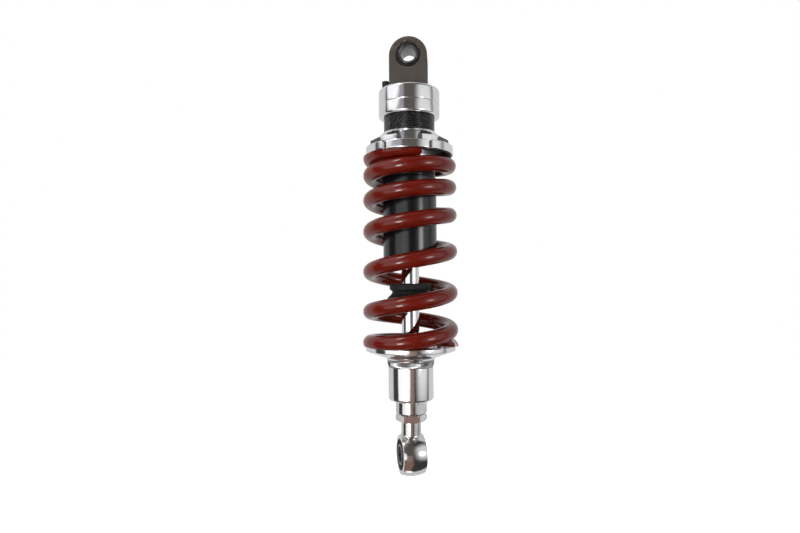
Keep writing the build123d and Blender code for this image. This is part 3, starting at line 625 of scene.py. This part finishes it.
def build_spring():
    """The coil spring, with ground ends, stretching between the preload washer and its lower seat."""
    low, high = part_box("main_spring")
    centres = coil_centres()
    tangents = np.gradient(centres, axis=0)
    tangents /= np.linalg.norm(tangents, axis=1)[:, None]
    outward = centres * (1, 1, 0)
    outward /= np.linalg.norm(outward, axis=1)[:, None]
    outward -= tangents * (outward * tangents).sum(1)[:, None]
    outward /= np.linalg.norm(outward, axis=1)[:, None]
    across = np.cross(tangents, outward)
    around = np.linspace(0, 2 * np.pi, 48, endpoint=False)
    rings = (centres[:, None] + WIRE_R * MM * (outward[:, None] * np.cos(around)[:, None]
                                               + across[:, None] * np.sin(around)[:, None]))
    rings[..., 2] = np.clip(rings[..., 2], low.z, high.z)
    mesh = grid_mesh("main_spring_coil", rings.tolist(), close_rings=False, cap_ends=True)
    piece = show("main_spring_coil", mesh, "main_spring")
    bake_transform(piece)
    line = np.repeat(centres[:, 2], len(around))
    share = np.clip((high.z - WIRE_R * MM - line) / (high.z - low.z - 2 * WIRE_R * MM), 0, 1)
    follow_washer(piece, 1 - share)


def follow_washer(spring, weights):
    """The spring's upper end also goes down with the preload washer, by these weights of its points."""
    anchor = bpy.data.objects.new("spring_top_anchor", None)
    bpy.context.scene.collection.objects.link(anchor)
    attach(anchor, "preload_washer")
    bpy.context.view_layer.update()
    group = spring.vertex_groups.new(name="upper_end")
    for index, weight in enumerate(weights):
        group.add([index], float(weight), "REPLACE")
    hook = spring.modifiers.new("preload", "HOOK")
    hook.object, hook.vertex_group, hook.falloff_type = anchor, "upper_end", "NONE"
    hook.matrix_inverse = anchor.matrix_world.inverted() @ spring.matrix_world


def build_turned_pieces():
    build_head()
    build_lock_ring()
    build_adjuster_ring()
    build_thrust_washer()
    build_body_tube()
    build_rod()
    build_bump_stop()
    build_spring_seat()
    build_rebound_ring()
    build_cup()
    build_rod_end()


# ---------------------------------------------------------------- edges of the CAD pieces
def soften(name, width_mm, segments=3, angle=28):
    """Welds a CAD piece's faces and rounds its corners a little, as a tumbled or machined edge."""
    piece = nodes[name]
    weld = piece.modifiers.new("weld", "WELD")
    weld.merge_threshold = 0.002 * MM
    bevel = piece.modifiers.new("bevel", "BEVEL")
    bevel.width, bevel.segments = width_mm * MM, segments
    bevel.limit_method, bevel.angle_limit = "ANGLE", math.radians(angle)
    bevel.use_clamp_overlap = True
    bevel.harden_normals = True


build_turned_pieces()
build_spring()
soften("upper_eye", 0.35)
soften("upper_sleeve", 0.12)
soften("lock_nut", 0.25)


# ---------------------------------------------------------------- studio
VIEW_AZIMUTH = 3.3
middle = (cad_low + cad_high) / 2


def bearing(azimuth, distance, z):
    """A point round the shock; azimuth 0 is the front, and it grows towards +X."""
    a = math.radians(azimuth)
    return Vector((distance * math.sin(a), -distance * math.cos(a), z))


def flat_material(name, colour, emission=None):
    material = bpy.data.materials.new(name)
    material.use_nodes = True
    shader = material.node_tree.nodes["Principled BSDF"]
    shader.inputs["Base Color"].default_value = (*colour, 1)
    shader.inputs["Roughness"].default_value = 1.0
    shader.inputs["Specular IOR Level"].default_value = 0.0
    if emission:
        shader.inputs["Emission Color"].default_value = (*emission, 1)
        shader.inputs["Emission Strength"].default_value = 1.0
    return material


def studio_mesh(name, points, faces, material):
    mesh = bpy.data.meshes.new(name)
    mesh.from_pydata(points, [], faces)
    mesh.materials.append(material)
    piece = bpy.data.objects.new(name, mesh)
    bpy.context.scene.collection.objects.link(piece)
    return piece


def rise(value, low, high):
    t = min(1.0, max(0.0, (value - low) / (high - low)))
    return t * t * (3 - 2 * t)


def window(value, low, high, blur):
    """1 between low and high, with blurred ends."""
    return rise(value, low - blur, low + blur) * (1 - rise(value, high - blur, high + blur))


# Softboxes: azimuth and elevation of the centre and half sizes in degrees, power of the outline
# (2 is an ellipse, more is squarer), softness of the edge, radiance.
SOFTBOXES = [
    (-64, 44, 28, 30, 3, 0.20, (1.2, 1.2, 1.2)),
    (-48, 57, 10, 9, 2, 0.40, (9.0, 9.0, 9.0)),
    (-35, -8.4, 31, 23, 3, 0.06, (1.2, 1.2, 1.2)),
    (-24, -13, 8, 9, 2, 0.40, (14.0, 14.0, 14.0)),
    (60, 8, 31, 33, 3, 0.42, (0.84, 0.84, 0.83)),
    (48, 2, 9, 8, 2, 0.45, (8.0, 8.0, 8.0)),
]
# The room behind them, painted in this order on a pale ground: colour, azimuths and their blur,
# elevations over which it comes in (if it does) and goes out again.
PALE, DARK, WARM_DARK = (0.70, 0.70, 0.70), (0.050, 0.048, 0.047), (0.110, 0.105, 0.094)
LILAC, BROWN, LOW_BROWN = (0.36, 0.35, 0.39), (0.30, 0.20, 0.17), (0.26, 0.15, 0.12)
ROOM = [
    (DARK, (-98, 99, 4), None, (62, 80)),
    (WARM_DARK, (-38, 28, 3), (-4, 2), (50, 70)),
    (LILAC, (-40, -20, 3), (-4, 2), (50, 70)),
    (BROWN, (-8, 16, 3), None, (-6, 0)),
    (LOW_BROWN, (-110, 20, 5), None, (-40, -32)),
]


def room_light(azimuth, elevation):
    """Radiance of the studio as the shock sees it; the room is dark in front, pale behind and above."""
    colour = Vector(PALE)
    for paint, span, comes_in, goes_out in ROOM:
        share = window(azimuth, *span) * (1 - rise(elevation, *goes_out))
        if comes_in:
            share *= rise(elevation, *comes_in)
        colour = colour.lerp(Vector(paint), share)
    for az, el, wide, tall, power, soft, radiance in SOFTBOXES:
        reach = (abs((azimuth - az) / wide) ** power + abs((elevation - el) / tall) ** power) ** (1 / power)
        colour = colour.lerp(Vector(radiance), 1 - rise(reach, 1 - soft, 1 + soft))
    return colour


def build_light_dome():
    """A dome round the shock that the camera doesn't see, painted with the light of the studio."""
    radius, step = 1.2, 1.5
    azimuths = np.arange(-180, 180, step)
    elevations = np.arange(-84, 84 + step, step)
    points, colours, faces = [], [], []
    for e in elevations:
        for a in azimuths:
            flat = radius * math.cos(math.radians(e))
            points.append(bearing(VIEW_AZIMUTH + a, flat, middle.z + radius * math.sin(math.radians(e))))
            colours.append(room_light(a, e))
    width = len(azimuths)
    for i in range(len(elevations) - 1):
        for k in range(width):
            m = (k + 1) % width
            faces.append((i * width + k, i * width + m, (i + 1) * width + m, (i + 1) * width + k))
    material = flat_material("light_dome", (0, 0, 0), emission=(1, 1, 1))
    glow = material.node_tree.nodes.new("ShaderNodeAttribute")
    glow.attribute_name = "glow"
    material.node_tree.links.new(glow.outputs["Color"],
                                 material.node_tree.nodes["Principled BSDF"].inputs["Emission Color"])
    dome = studio_mesh("light_dome", points, faces, material)
    paint = dome.data.attributes.new("glow", "FLOAT_VECTOR", "POINT")
    paint.data.foreach_set("vector", np.array(colours, dtype=np.float32).ravel())
    dome.visible_camera = False
    dome.data.shade_smooth()


def build_studio():
    world = bpy.data.worlds.new("studio")
    bpy.context.scene.world = world
    world.use_nodes = True
    world.node_tree.nodes["Background"].inputs["Color"].default_value = (1.0, 1.0, 1.0, 1)
    floor_z, far = cad_low.z - 1.15, 9.0
    corners = [(x * far, y * far, floor_z) for x, y in ((-1, -1), (1, -1), (1, 1), (-1, 1))]
    studio_mesh("floor", corners, [(0, 1, 2, 3)],
                flat_material("pale_floor", (0.8, 0.8, 0.8), emission=(1, 1, 1)))
    build_light_dome()
    bpy.context.scene.view_settings.view_transform = "Standard"


# ---------------------------------------------------------------- camera
def build_camera():
    """The viewpoint: close in front and a little to +X, level with the shock's middle."""
    distance, eye_height = 0.5457, -0.204
    pitch, yaw, roll = 1.38, VIEW_AZIMUTH + 0.975, -0.38
    lens = bpy.data.cameras.new("camera")
    lens.sensor_width, lens.lens = 36.0, 27.0
    camera = bpy.data.objects.new("camera", lens)
    bpy.context.scene.collection.objects.link(camera)
    turn = Euler((math.radians(90 + pitch), 0, math.radians(yaw))).to_matrix().to_4x4()
    camera.matrix_world = (Matrix.Translation(bearing(VIEW_AZIMUTH, distance, eye_height))
                           @ turn @ Matrix.Rotation(math.radians(roll), 4, "Z"))
    lens.clip_start, lens.clip_end = 0.01, 50
    bpy.context.scene.camera = camera


build_studio()
build_camera()
